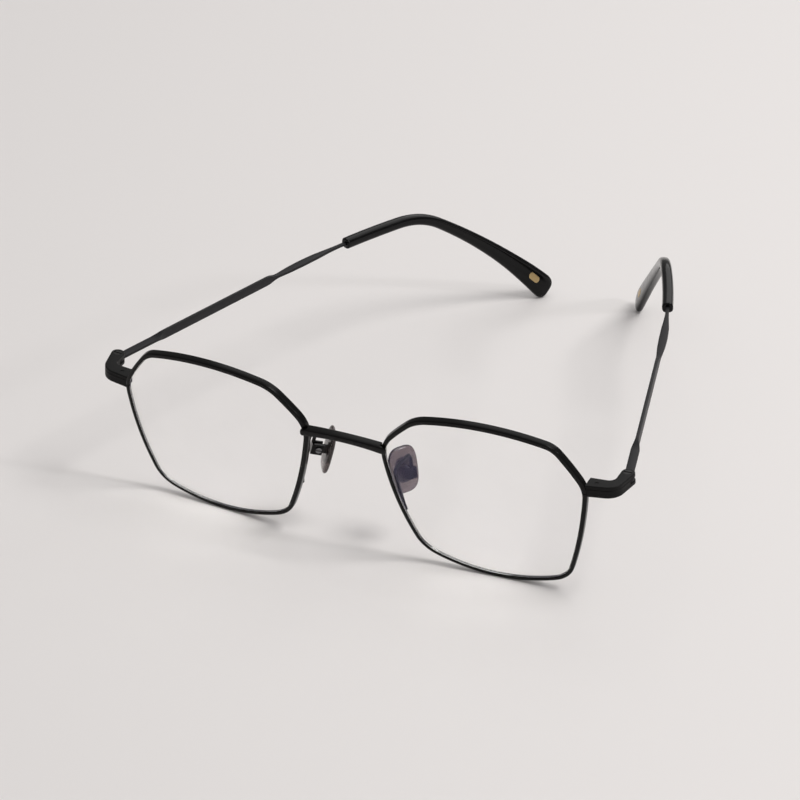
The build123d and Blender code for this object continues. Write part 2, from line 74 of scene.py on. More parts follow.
def place_camera():
    """Camera on a sphere round the target: back = (sin az cos el, -cos az cos el, sin el)."""
    azimuth = math.radians(VIEW_AZIMUTH)
    rise = math.radians(VIEW_HEIGHT_ANGLE)
    back = Vector(
        (
            math.sin(azimuth) * math.cos(rise),
            -math.cos(azimuth) * math.cos(rise),
            math.sin(rise),
        )
    )
    data = bpy.data.cameras.new("camera")
    data.lens = VIEW_LENS
    data.sensor_width = 36.0
    data.clip_start = 0.01
    camera = bpy.data.objects.new("camera", data)
    camera.location = VIEW_TARGET + back * VIEW_DISTANCE
    camera.rotation_euler = (math.pi / 2 - rise, 0, azimuth)
    bpy.context.scene.collection.objects.link(camera)
    bpy.context.scene.camera = camera
    return camera


camera = place_camera()
print("camera at", [round(c, 4) for c in camera.location])

# %% [markdown]
# ## Table and light
# The table is a plain pale sheet, so nothing takes the eye from the thin black lines. The
# shadows in the photograph are faint and soft and fall to the left, so the key is a panel
# high on the right. A small panel lower on the right draws the thin bright lines on the
# slanted rims. A wide panel behind makes the far side of the table the brighter one. The
# room is bright above and dimmer toward the horizon, so that faces which look forward
# stay dark. Three panels and a room are enough, and each has one clear task.

# %% Table
TABLE_SIZE = 3.0
TABLE_COLOUR = (0.82, 0.795, 0.785, 1.0)


def set_sockets(node, **values):
    """Plain values on a node's own sockets; a space in a name is written as _."""
    for socket, value in values.items():
        node.inputs[socket.replace("_", " ")].default_value = value


def new_material(name, colour, roughness):
    """Principled material with its plain numbers on the shader's own sockets."""
    material = bpy.data.materials.new(name)
    material.use_nodes = True
    shader = material.node_tree.nodes["Principled BSDF"]
    set_sockets(shader, Base_Color=colour, Roughness=roughness)
    return material, shader


def lay_table():
    """Square sheet at height zero, far wider than the picture."""
    half = TABLE_SIZE / 2
    mesh = bpy.data.meshes.new("table")
    corners = [(-half, -half, 0), (half, -half, 0), (half, half, 0), (-half, half, 0)]
    mesh.from_pydata(corners, [], [(0, 1, 2, 3)])
    table = bpy.data.objects.new("table", mesh)
    bpy.context.scene.collection.objects.link(table)
    material, shader = new_material("pale_table", TABLE_COLOUR, 0.7)
    set_sockets(shader, Specular_IOR_Level=0.15)
    mesh.materials.append(material)
    return table


table = lay_table()
print("table side", TABLE_SIZE, "m")

# %% Panels and room
# Each panel: name, place and side in metres, power in watts, colour.
PANELS = (
    ("key_panel", (0.6, -0.02, 1.06), 0.4, 5.4, (1.0, 0.985, 0.97)),
    ("edge_panel", (1.04, -0.03, 0.65), 0.12, 1.8, (1.0, 0.99, 1.0)),
    ("back_panel", (0.1, 0.8, 0.8), 1.2, 5.2, (1.0, 0.99, 0.98)),
)
ROOM_COLOUR = (1.0, 0.985, 0.98, 1.0)
ROOM_HORIZON = 0.2
ROOM_ZENITH = 0.44


def add_panel(name, place, size, power, colour):
    """Square soft light that looks at the target."""
    data = bpy.data.lights.new(name, "AREA")
    data.shape = "SQUARE"
    data.size = size
    data.energy = power
    data.color = colour
    light = bpy.data.objects.new(name, data)
    light.location = place
    light.rotation_euler = (VIEW_TARGET - Vector(place)).to_track_quat("-Z", "Y").to_euler()
    bpy.context.scene.collection.objects.link(light)
    return light


def light_room(horizon, zenith):
    """Pale surrounding whose strength grows with the height of the direction."""
    world = bpy.data.worlds.new("room")
    world.use_nodes = True
    tree = world.node_tree
    sky = tree.nodes["Background"]
    set_sockets(sky, Color=ROOM_COLOUR)
    direction = tree.nodes.new("ShaderNodeTexCoord")
    split = tree.nodes.new("ShaderNodeSeparateXYZ")
    height = tree.nodes.new("ShaderNodeMapRange")
    set_sockets(height, From_Min=0.0, From_Max=1.0, To_Min=horizon, To_Max=zenith)
    tree.links.new(direction.outputs["Generated"], split.inputs["Vector"])
    tree.links.new(split.outputs["Z"], height.inputs["Value"])
    tree.links.new(height.outputs["Result"], sky.inputs["Strength"])
    bpy.context.scene.world = world


for panel in PANELS:
    add_panel(*panel)
light_room(ROOM_HORIZON, ROOM_ZENITH)
bpy.context.scene.view_settings.view_transform = "Standard"

# %% [markdown]
# ## One helper for every skin
# A rim, a wire, a temple and a pad are all the same kind of surface: a closed section that
# is carried along a path. Blender could bevel a curve, but then every section is alike.
# A grid of points is freer, because each row can be another size. Rows run along the path,
# columns run round the section, and an open end is closed by a fan to its middle.

# %% Grid of faces
def grid_faces(rows, columns, ring):
    """Quads between neighbouring rows; the columns always close, the rows close if ring."""
    row = np.arange(rows if ring else rows - 1)[:, None]
    column = np.arange(columns)[None, :]
    next_row = (row + 1) % rows
    next_column = (column + 1) % columns
    corners = (
        row * columns + column,
        next_row * columns + column,
        next_row * columns + next_column,
        row * columns + next_column,
    )
    return np.stack(np.broadcast_arrays(*corners), axis=-1).reshape(-1, 4)


def end_fan(first, middle, columns, reverse):
    """Triangles from one end row to the point in its middle."""
    column = np.arange(columns)
    edge = first + column
    following = first + (column + 1) % columns
    fan = np.stack([edge, following, np.full(columns, middle)], axis=-1)
    return fan[:, ::-1] if reverse else fan


def shell(points, ring=False):
    """Vertices and faces of one closed shell on a grid of points (rows, columns, 3)."""
    rows, columns = points.shape[:2]
    vertices = points.reshape(-1, 3)
    faces = [grid_faces(rows, columns, ring)]
    if not ring:
        count = rows * columns
        vertices = np.vstack([vertices, points[0].mean(axis=0), points[-1].mean(axis=0)])
        faces.append(end_fan(0, count, columns, False))
        faces.append(end_fan((rows - 1) * columns, count + 1, columns, True))
    return vertices, faces


print("a tube of 3 rings of 4 points has", len(grid_faces(3, 4, False)), "faces")

# %% Skin
SHARP_ANGLE = math.radians(40)


def outward(vertices, faces):
    """Faces turned outwards: the sum of corner volumes to the origin has to be positive."""
    volume = 0.0
    for block in faces:
        corners = vertices[block]
        for k in range(1, block.shape[1] - 1):
            cross = np.cross(corners[:, k], corners[:, k + 1])
            volume += (corners[:, 0] * cross).sum()
    return faces if volume > 0 else [block[:, ::-1] for block in faces]


def skin(name, shells, body, *replaced):
    """Piece made of closed shells, in millimetres, that rides on a body."""
    vertices, loops, totals, first = [], [], [], 0
    for points, ring in shells:
        own, faces = shell(np.asarray(points, float), ring)
        for block in outward(own, faces):
            loops.append((block + first).ravel())
            totals.append(np.full(len(block), block.shape[1]))
        vertices.append(own)
        first += len(own)
    vertices = np.vstack(vertices) * MM
    loops = np.concatenate(loops)
    totals = np.concatenate(totals)
    mesh = bpy.data.meshes.new(name)
    mesh.vertices.add(len(vertices))
    mesh.vertices.foreach_set("co", vertices.ravel())
    mesh.loops.add(len(loops))
    mesh.loops.foreach_set("vertex_index", loops)
    mesh.polygons.add(len(totals))
    mesh.polygons.foreach_set("loop_start", np.concatenate([[0], np.cumsum(totals)[:-1]]))
    mesh.update(calc_edges=True)
    mesh.validate()
    mesh.shade_smooth()
    mesh.set_sharp_from_angle(angle=SHARP_ANGLE)
    piece = bpy.data.objects.new(name, mesh)
    bpy.context.scene.collection.objects.link(piece)
    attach(piece, body)
    if replaced:
        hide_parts(*replaced)
    print(name, len(mesh.polygons), "faces")
    return piece


print("edges sharper than", round(math.degrees(SHARP_ANGLE)), "degrees stay crisp")

# %% Sections and the mirror
def rounded_section(width, height, radius, steps=5):
    """Rounded rectangle: four corner points, each with a quarter circle of radius round it."""
    turn = np.linspace(0, np.pi / 2, steps)
    arc = np.stack([np.cos(turn), np.sin(turn)], axis=-1)
    quarter_turns = [np.array([[c, s], [-s, c]]) for c, s in ((1, 0), (0, 1), (-1, 0), (0, -1))]
    signs = np.array([(1, 1), (-1, 1), (-1, -1), (1, -1)])
    width, height, radius = (np.asarray(v, float)[..., None, None] for v in (width, height, radius))
    parts = []
    for sign, turned in zip(signs, quarter_turns):
        corner = np.concatenate([width / 2 - radius, height / 2 - radius], axis=-1) * sign
        parts.append(corner + radius * (arc @ turned))
    return np.concatenate(parts, axis=-2)


def mirrored(points):
    """The same shape on the other side of the face: x changes its sign."""
    return points * np.array([-1.0, 1.0, 1.0])


print("a rounded section has", len(rounded_section(2.0, 1.0, 0.2)), "points")

# %% [markdown]
# ## The eye plane and the rim's outline
# Both rims are the same six-sided shape, mirrored. Its sides are long shallow arcs and its
# corners are short round ones. A fillet between two arcs has its centre where two smaller
# circles cross, and that can be written down for all six corners at once. The flat outline
# is then laid on the sphere of the lens, which bows the whole rim a little.

# %% Lens box and eye plane
LENS_WIDTH = 49.0
LENS_HEIGHT = 46.0
NOSE_GAP = 19.6
FRONT_TILT = math.radians(12.8)
FACE_WRAP = math.radians(3.75)
BASE_RADIUS = 179.0
APEX_SHARE = 0.418
RIM_WIDTH = 1.0
RIM_DEPTH = 1.8
CORNER_X_SHARES = np.array((0.499, 0.348, -0.334, -0.515, -0.340, 0.391))
CORNER_Y_SHARES = np.array((0.706, 0.939, 0.943, 0.735, 0.104, 0.085))
SIDE_BOW_SHARES = np.array((0.008, 0.049, 0.008, 0.025, 0.078, 0.019))
CORNER_RADIUS_SHARES = np.array((0.18, 0.125, 0.21, 0.173, 0.173, 0.138))

wrap_cos, wrap_sin = math.cos(FACE_WRAP), math.sin(FACE_WRAP)
tilt_cos, tilt_sin = math.cos(FRONT_TILT), math.sin(FRONT_TILT)
eye_across = np.array((wrap_cos, wrap_sin, 0.0))
eye_front = np.array((wrap_sin * tilt_cos, -wrap_cos * tilt_cos, -tilt_sin * wrap_cos))
eye_front = eye_front / np.linalg.norm(eye_front)
eye_across = eye_across - eye_front * eye_front.dot(eye_across)
eye_across = eye_across / np.linalg.norm(eye_across)
eye_up = np.cross(eye_front, eye_across)
eye_origin = np.array((NOSE_GAP / 2 + LENS_WIDTH / 2, SHIFT_Y, SHIFT_Z))
print("the eye plane faces", np.round(eye_front, 3))

# %% Outline of arcs
def crossing(first, first_reach, second, second_reach):
    """Both points at given distances from two centres, along and square to their line."""
    between = second - first
    gap = np.linalg.norm(between, axis=1, keepdims=True)
    along = between / gap
    square = np.stack([-along[:, 1], along[:, 0]], axis=-1)
    forward = (first_reach**2 - second_reach**2 + gap**2) / (2 * gap)
    sideways = np.sqrt(first_reach**2 - forward**2)
    return first + forward * along + sideways * square, first + forward * along - sideways * square


def arc_rows(centre, radius, start, end, steps):
    """Points and outward normals on an arc from the angle of start to the angle of end."""
    first = np.arctan2(*(start - centre)[::-1])
    last = np.arctan2(*(end - centre)[::-1])
    last = first + (last - first + np.pi) % (2 * np.pi) - np.pi
    turn = np.linspace(first, last, steps, endpoint=False)
    normal = np.stack([np.cos(turn), np.sin(turn)], axis=-1)
    return centre + radius * normal, normal


def eye_outline(side_steps=36, corner_steps=18):
    """Closed outline of the middle of the rim: points and normals in the eye plane."""
    corner_x = LENS_WIDTH * CORNER_X_SHARES
    corner_y = RIM_WIDTH / 2 + LENS_HEIGHT * CORNER_Y_SHARES
    corners = np.stack([corner_x, corner_y], axis=-1)
    chord = np.roll(corners, -1, axis=0) - corners
    length = np.linalg.norm(chord, axis=1, keepdims=True)
    bow = (LENS_WIDTH * SIDE_BOW_SHARES)[:, None]
    inward = np.stack([-chord[:, 1], chord[:, 0]], axis=-1) / length
    side_radius = (length**2 / 4 + bow**2) / (2 * bow)
    side_centre = corners + chord / 2 + inward * (side_radius - bow)
    before_centre = np.roll(side_centre, 1, axis=0)
    before_radius = np.roll(side_radius, 1, axis=0)
    round_radius = (LENS_WIDTH * CORNER_RADIUS_SHARES)[:, None]
    before_reach = before_radius - round_radius
    side_reach = side_radius - round_radius
    one, other = crossing(before_centre, before_reach, side_centre, side_reach)
    near = np.linalg.norm(one - corners, axis=1) < np.linalg.norm(other - corners, axis=1)
    round_centre = np.where(near[:, None], one, other)
    leave = before_centre + (round_centre - before_centre) * before_radius / before_reach
    meet = side_centre + (round_centre - side_centre) * side_radius / side_reach
    points, normals = [], []
    for k in range(len(corners)):
        arcs = (
            (round_centre[k], round_radius[k, 0], leave[k], meet[k], corner_steps),
            (side_centre[k], side_radius[k, 0], meet[k], leave[(k + 1) % len(corners)], side_steps),
        )
        for arc in arcs:
            arc_points, arc_normals = arc_rows(*arc)
            points.append(arc_points)
            normals.append(arc_normals)
    return np.vstack(points), np.vstack(normals)


outline, outline_normal = eye_outline()
print("outline points:", len(outline), "width", round(float(np.ptp(outline[:, 0])), 2))

# %% Sphere of the lens
def on_eye(flat, ahead):
    """World points of eye coordinates: the sphere's sag is taken off, then ahead is added."""
    rise = flat[..., 1] - RIM_WIDTH / 2 - LENS_HEIGHT * APEX_SHARE
    sag = BASE_RADIUS - np.sqrt(BASE_RADIUS**2 - flat[..., 0] ** 2 - rise**2)
    out = (ahead - sag)[..., None] * eye_front
    return eye_origin + flat[..., :1] * eye_across + flat[..., 1:] * eye_up + out


bowed = on_eye(outline, np.zeros(len(outline)))
print("the rim reaches back", round(float(np.ptp(bowed @ eye_front)), 2), "mm on the sphere")

# %% [markdown]
# ## The leaning hinge pins
# Each temple turns on a pin in its end piece. The pin isn't quite upright: it leans in and
# forward a little, which makes the folded temples lie one over the other. Everything on a
# temple is measured from this pin, and the rim's cut lies square to it, so its axes come
# before both. Right-hand values are used throughout, and the left side is their mirror.

# %% Hinge axes
BLOCK_TOP_SHARE = 0.7522
BLOCK_HEIGHT = 3.0
HINGE_X = 66.1
HINGE_Y = 4.3 + SHIFT_Y
HINGE_Z = LENS_HEIGHT * BLOCK_TOP_SHARE - BLOCK_HEIGHT / 2 + SHIFT_Z
HINGE_LEAN_IN = math.radians(3.5)
HINGE_LEAN_FORWARD = math.radians(2.4)
REST_TURN = {"left": math.radians(18.4), "right": math.radians(14.0)}
hinge_place = np.array((HINGE_X, HINGE_Y, HINGE_Z))


def hinge_axes(turn):
    """Axes of the right-hand hinge, turned in: outward, back along the temple, pin."""
    pin = np.array((-math.sin(HINGE_LEAN_IN), -math.sin(HINGE_LEAN_FORWARD), 0.0))
    pin[2] = math.cos(HINGE_LEAN_IN) * math.cos(HINGE_LEAN_FORWARD)
    pin = pin / np.linalg.norm(pin)
    across = np.array((math.cos(turn), math.sin(turn), 0.0))
    across = across - pin * across.dot(pin)
    across = across / np.linalg.norm(across)
    return across, np.cross(pin, across), pin


block_axes = np.stack(hinge_axes(0.0))
print("pin leans", np.round(block_axes[2], 3))

# %% [markdown]
# ## Rims
# A rim is drawn wire with a groove rolled into its inner side, where the lens sits. The
# section is a small rounded block with that groove, and it goes once round the outline.
# The rim is cut at the end piece, where a screw pulls it shut, so the path is left open by
# a hair there and both ends are closed.

# %% Rims
RIM_EDGE = 0.3
GROOVE_DEPTH = 0.32
GROOVE_WIDTH = 0.7
RIM_CUT = 0.16
SEAM_DROP = 0.53
OUTER_SHARE = 0.4


def rim_section():
    """Closed section: across the wire from its middle, and ahead of its middle."""
    body = rounded_section(RIM_WIDTH, RIM_DEPTH, RIM_EDGE)
    inner = -RIM_WIDTH / 2
    groove = np.array(
        [
            (inner, GROOVE_WIDTH / 2),
            (inner + GROOVE_DEPTH, GROOVE_WIDTH / 2),
            (inner + GROOVE_DEPTH, -GROOVE_WIDTH / 2),
            (inner, -GROOVE_WIDTH / 2),
        ]
    )
    half = len(body) // 2
    return np.vstack([body[:half], groove, body[half:]])


def rim_rows():
    """Sections at each step of the outline: outline + normal * across, then ahead."""
    section = rim_section()
    flat = outline[:, None, :] + outline_normal[:, None, :] * section[None, :, :1]
    return on_eye(flat, np.broadcast_to(section[:, 1], flat.shape[:2]))


def row_at(rows, levels, level):
    """Row between two neighbours, where the rising levels reach this level."""
    place = np.interp(level, levels, np.arange(len(levels)))
    low = int(place)
    return rows[low] + (rows[low + 1] - rows[low]) * (place - low)


def cut_open(rows):
    """Rows that start just over the cut and end just under it, square to the hinge pin."""
    middle = on_eye(outline, np.zeros(len(outline)))
    level = (middle - hinge_place) @ block_axes[2] + SEAM_DROP
    outer = outline[:, 0] > LENS_WIDTH * OUTER_SHARE
    rising = (level > 0) & (np.roll(level, 1) <= 0) & outer
    first = int(np.flatnonzero(rising)[0])
    rows, level = np.roll(rows, -first, axis=0), np.roll(level, -first)
    near = np.arange(-4, 4)
    upper = row_at(rows[near], level[near], RIM_CUT / 2)
    lower = row_at(rows[near], level[near], -RIM_CUT / 2)
    clear = np.abs(level) > RIM_CUT
    return np.concatenate([upper[None], rows[clear], lower[None]])


rim_points = cut_open(rim_rows())
rim_right = skin("rim_wire_right", [(rim_points, False)], "front", "rim_right")
rim_left = skin("rim_wire_left", [(mirrored(rim_points), False)], "front", "rim_left")

# %% [markdown]
# ## End pieces
# Each end piece is two stacked blocks with a bend, and its outer corner is filed to a large
# soft round before it is coated. The CAD block already has the bores, the slot and a small
# round, so a copy of it is taken and only some of its points move: those on the small round
# go along the same rays onto a larger one. Flat faces stay flat, because their edges slide
# in their own plane.

# %% Larger round
ELBOW = np.array((0.15, -7.5))
ROOT_CORNER = np.array((-8.3, -8.7))
KNUCKLE_CORNER = np.array((1.65, 0.0))
ELBOW_ROUND_CAD = 0.8
ELBOW_ROUND = 4.0
ROUND_SLACK = 0.01


def merged(node):
    """Points in millimetres and triangles of a CAD node, with equal points made one."""
    points = np.empty(3 * len(node.data.vertices))
    corners = np.empty(len(node.data.loops), dtype=np.int32)
    node.data.vertices.foreach_get("co", points)
    node.data.loops.foreach_get("vertex_index", corners)
    points, index = np.unique(np.round(points.reshape(-1, 3) / MM, 4), axis=0, return_inverse=True)
    triangles = index.ravel()[corners].reshape(-1, 3)
    distinct = (triangles != np.roll(triangles, 1, axis=1)).all(axis=1)
    return points, triangles[distinct]


def rounder_elbow(plan):
    """Plan points on the small round: large centre + ray * (reach + R - r) / reach."""
    to_root, to_knuckle = ROOT_CORNER - ELBOW, KNUCKLE_CORNER - ELBOW
    to_root = to_root / np.linalg.norm(to_root)
    to_knuckle = to_knuckle / np.linalg.norm(to_knuckle)
    half = math.acos(float(to_root @ to_knuckle)) / 2
    middle_way = (to_root + to_knuckle) / np.linalg.norm(to_root + to_knuckle) / math.sin(half)
    ray = plan - ELBOW - middle_way * ELBOW_ROUND_CAD
    reach = np.maximum(np.linalg.norm(ray, axis=1), ROUND_SLACK)[:, None]
    on_round = (ray @ to_root < ROUND_SLACK) & (ray @ to_knuckle < ROUND_SLACK)
    on_round &= reach[:, 0] < ELBOW_ROUND_CAD + 2 * ROUND_SLACK
    grown = ray * (reach + ELBOW_ROUND - ELBOW_ROUND_CAD) / reach
    moved = ELBOW + middle_way * ELBOW_ROUND + grown
    return np.where(on_round[:, None], moved, plan)


print("elbow round", ELBOW_ROUND_CAD, "mm in the CAD and", ELBOW_ROUND, "mm here")

# %% End pieces
BLOCK_SHARP = math.radians(15)


def filed_block(name, side):
    """Copy of a CAD block, with the larger round given to its corner in the hinge's axes."""
    points, triangles = merged(nodes["endpiece_" + name])
    points = points if side == "right" else mirrored(points)
    local = (points - hinge_place) @ block_axes.T
    local[:, :2] = rounder_elbow(local[:, :2])
    points = hinge_place + local @ block_axes
    points = points if side == "right" else mirrored(points)
    mesh = bpy.data.meshes.new("block_" + name)
    mesh.from_pydata((points * MM).tolist(), [], triangles.tolist())
    mesh.validate()
    mesh.shade_smooth()
    mesh.set_sharp_from_angle(angle=BLOCK_SHARP)
    block = bpy.data.objects.new("block_" + name, mesh)
    bpy.context.scene.collection.objects.link(block)
    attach(block, "front")
    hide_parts("endpiece_" + name)
    print(block.name, len(triangles), "triangles")
    return block


blocks = {}
for side in ("left", "right"):
    for level in ("upper", "lower"):
        name = level + "_" + side
        blocks[name] = filed_block(name, side)

# %% [markdown]
# ## Lenses
# Each lens is a thin meniscus, ground with a small ridge round its edge that runs in the
# rim's groove. The surface goes from the middle of the front, out to the edge, over the
# ridge and back to the middle of the rear, so it is one closed skin. The six rows of the
# ground edge come after the front's rings, and the five bands between them take the
# second, frosted finish.

# %% Lenses
LENS_THICKNESS = 1.5
LENS_PLAY = 0.04
BEVEL_HEIGHT = 0.25
BEVEL_WIDTH = 0.6
BEVEL_FLAT = 0.12
LENS_CHAMFER = 0.16
FACE_RINGS = 26


def lens_rows():
    """Rings from the front pole to the rear pole: a share of the outline, then the edge."""
    edge = -RIM_WIDTH / 2 - LENS_PLAY
    middle = np.array((0.0, RIM_WIDTH / 2 + LENS_HEIGHT * 0.5))
    shares = np.linspace(0.02, 0.995, FACE_RINGS)
    rings = []
    for ahead, order in ((LENS_THICKNESS / 2, 1), (-LENS_THICKNESS / 2, -1)):
        faces = []
        for share in shares[::order]:
            flat = middle + (outline + outline_normal * edge - middle) * share
            faces.append(on_eye(flat, np.full(len(flat), ahead)))
        rings.append(faces)
    profile = (
        (edge, LENS_THICKNESS / 2 - LENS_CHAMFER),
        (edge, BEVEL_WIDTH / 2),
        (edge + BEVEL_HEIGHT, BEVEL_FLAT / 2),
        (edge + BEVEL_HEIGHT, -BEVEL_FLAT / 2),
        (edge, -BEVEL_WIDTH / 2),
        (edge, LENS_CHAMFER - LENS_THICKNESS / 2),
    )
    every = np.ones(len(outline))
    bevel = [on_eye(outline + outline_normal * out, every * ahead) for out, ahead in profile]
    return np.stack(rings[0] + bevel + rings[1])


def second_finish_on(piece, first_row, last_row, columns):
    """Faces between two rows of the grid take the piece's second material."""
    index = np.zeros(len(piece.data.polygons), dtype=np.int32)
    index[first_row * columns : last_row * columns] = 1
    piece.data.polygons.foreach_set("material_index", index)


lens_points = lens_rows()
lens_right = skin("lens_skin_right", [(lens_points, False)], "front", "lens_right")
lens_left = skin("lens_skin_left", [(mirrored(lens_points), False)], "front", "lens_left")
for piece in (lens_right, lens_left):
    second_finish_on(piece, FACE_RINGS, FACE_RINGS + 5, len(outline))

# %% [markdown]
# ## Bridge
# The bridge is a flat bar that lies over the front of both rims and arches a little in the
# middle. Its top and bottom edges are arcs, and its ends are rounded lugs. The section's
# height follows the two arcs from lug to lug, and its edges are softly broken.

# %% Bridge
BRIDGE_HEIGHT_SHARE = 0.7235
BRIDGE_END_HEIGHT = 2.1
BRIDGE_MIDDLE_HEIGHT = 1.6
BRIDGE_RISE = 0.7
BRIDGE_FRONT = 1.75
BRIDGE_BACK = 0.45
BRIDGE_LUG = 0.6
BRIDGE_EDGE = 0.3
BRIDGE_STEP = 0.06

bridge_front = np.array((0.0, -tilt_cos, -tilt_sin))
bridge_up = np.array((0.0, -tilt_sin, tilt_cos))
bridge_base = np.array((0.0, SHIFT_Y, SHIFT_Z))
bridge_y = RIM_WIDTH / 2 + LENS_HEIGHT * BRIDGE_HEIGHT_SHARE
bridge_end = NOSE_GAP / 2 + RIM_WIDTH / 2 + BRIDGE_LUG
joint = on_eye(np.array((-LENS_WIDTH / 2, bridge_y)), np.array(0.0))
joint_depth = float((joint - bridge_base) @ bridge_front)


def arch(x, middle):
    """Arc through the middle and both ends: middle - R + sqrt(R^2 - x^2)."""
    rise = abs(middle)
    radius = (bridge_end**2 + rise**2) / (2 * rise)
    return middle + np.sign(middle) * (np.sqrt(radius**2 - x**2) - radius)


def bridge_rows():
    """Rounded section at each x: its top and bottom are arcs, its back rests on the rims."""
    swing = np.linspace(-np.pi / 2, np.pi / 2, 25)
    lug = (np.sin(swing) + 1) / 2 * BRIDGE_LUG
    rest = NOSE_GAP / 2 - RIM_WIDTH / 2 + BRIDGE_STEP
    step, free = [rest + 0.01, rest - 0.01], np.linspace(rest - 0.4, 0.4, 24)
    half = np.concatenate([bridge_end - lug[:13], step, free])
    x = np.concatenate([-half, half[::-1]])
    inset = np.maximum(np.abs(x) - bridge_end + BRIDGE_LUG, 0)
    inset = BRIDGE_LUG - np.sqrt(np.maximum(BRIDGE_LUG**2 - inset**2, 0))
    slimmer = (BRIDGE_END_HEIGHT - BRIDGE_MIDDLE_HEIGHT) / 2
    top = arch(x, BRIDGE_RISE - slimmer) + BRIDGE_END_HEIGHT / 2 - inset
    bottom = arch(x, BRIDGE_RISE + slimmer) - BRIDGE_END_HEIGHT / 2 + inset
    eye_x = (np.abs(x) - NOSE_GAP / 2 - LENS_WIDTH / 2) / wrap_cos
    every = np.ones(len(x))
    rim_front = on_eye(np.stack([eye_x, every * bridge_y], axis=-1), every * RIM_DEPTH / 2)
    seat = (rim_front - joint) @ bridge_front
    back = np.where(np.abs(x) > rest, seat, -BRIDGE_BACK)
    tall, deep = top - bottom, BRIDGE_FRONT - back
    edge = np.minimum(BRIDGE_EDGE, np.minimum(tall, deep) * 0.42)
    section = rounded_section(tall, deep, edge)
    rise = bridge_y + ((top + bottom) / 2)[:, None] + section[..., 0]
    depth = joint_depth + ((back + BRIDGE_FRONT) / 2)[:, None] + section[..., 1]
    across = x[:, None, None] * np.array((1.0, 0.0, 0.0))
    return bridge_base + across + rise[..., None] * bridge_up + depth[..., None] * bridge_front


bridge_bar = skin("bridge_bar", [(bridge_rows(), False)], "front", "bridge")

# %% [markdown]
# ## Temples
# A temple starts as a flat plate at the hinge, turns into a thin upright ribbon, opens
# into a second flat paddle and ends in a narrow neck that is pushed into the ear tip. All
# of it is one strip that was pressed flat in places, so one section changes its width and
# height along the course. The course runs straight, then bows inward, then bends down
# behind the ear.

# %% Temple course
EAR_BEND = {"left": math.radians(33.63), "right": math.radians(35.2)}
INWARD_START = 59.3
INWARD_RADIUS = 203.0
EAR_BEND_START = 95.4
EAR_BEND_RADIUS = 23.3
TAIL_RADIUS = 200.0
TEMPLE_LENGTH = 154.1
TIP_START = 78.0


def course(side, lengths):
    """Centre and heading at lengths: the heading turns in and down, and is added up."""
    fine = np.linspace(0, TEMPLE_LENGTH, 1600)
    bend_arc = EAR_BEND_RADIUS * EAR_BEND[side]
    turn = np.maximum(fine - INWARD_START, 0) / INWARD_RADIUS
    drop = np.clip(fine - EAR_BEND_START, 0, bend_arc) / EAR_BEND_RADIUS
    drop = drop + np.maximum(fine - EAR_BEND_START - bend_arc, 0) / TAIL_RADIUS
    level = np.cos(drop)
    heading = np.stack([level * np.sin(turn), level * np.cos(turn), -np.sin(drop)], axis=-1)
    step = (heading[1:] + heading[:-1]) / 2 * np.diff(fine)[:, None]
    centre = np.vstack([np.zeros(3), np.cumsum(step, axis=0)])
    at = [np.interp(lengths, fine, column) for column in np.hstack([centre, heading]).T]
    return np.stack(at[:3], axis=-1), np.stack(at[3:], axis=-1)


def temple_rows(side, lengths, sections):
    """Sections (rows, columns, 2) set square to the course, in world coordinates."""
    across, back, pin = hinge_axes(REST_TURN[side])
    centre, heading = course(side, lengths)
    place = hinge_place - centre[:, :1] * across + centre[:, 1:2] * back + centre[:, 2:] * pin
    along = -heading[:, :1] * across + heading[:, 1:2] * back + heading[:, 2:] * pin
    outward_dir = across - along * (along @ across)[:, None]
    outward_dir = outward_dir / np.linalg.norm(outward_dir, axis=1, keepdims=True)
    up = np.cross(outward_dir, along)
    rows = place[:, None] + sections[..., :1] * outward_dir[:, None]
    rows = rows + sections[..., 1:] * up[:, None]
    return rows if side == "right" else mirrored(rows)


reach = course("right", np.array([TEMPLE_LENGTH]))[0][0]
print("the temple ends", np.round(reach, 1), "mm in, back and up from its pin")

# %% [markdown]
# ## Temple bars
# The bar is one strip: a plate, a ribbon, a spindle, a neck and the core inside the tip. A
# press leaves no sharp steps, so widths and heights are set at a few places and averaged
# over a millimetre each way. At its front end the plate has an eye for the hinge screw,
# which is a small closed ring of its own that the strip runs into.

# %% Temple bars
BAR_AT = np.array((1.0, 12.5, 14.9, 51.5, 53.9, 58.55, 63.2, 67.85, 72.5, 75.0, 92.0))
BAR_WIDTH = np.array((2.1, 2.1, 0.8, 0.8, 1.155, 1.89, 2.1, 1.89, 1.155, 0.9, 0.9))
BAR_HEIGHT = np.array((0.8, 0.8, 2.5, 2.5, 0.8, 0.8, 0.8, 0.8, 0.8, 0.8, 0.8))
BAR_EDGE = 0.2
BAR_BLUR = 1.0
CORE_END = 91.6
EYE_RADII = (0.59, 1.5)


def pressed(at, values):
    """Straight runs between the set places, averaged over the blur on both sides."""
    spread = np.linspace(-BAR_BLUR, BAR_BLUR, 11)
    return np.interp(at[:, None] + spread, BAR_AT, values).mean(axis=1)


def bar_rows(side):
    """Rounded sections along the course, from inside the hinge's eye to the core's end."""
    at = np.linspace(BAR_AT[0], CORE_END, 340)
    wide, tall = pressed(at, BAR_WIDTH), pressed(at, BAR_HEIGHT)
    return temple_rows(side, at, rounded_section(wide, tall, np.full(len(at), BAR_EDGE)))


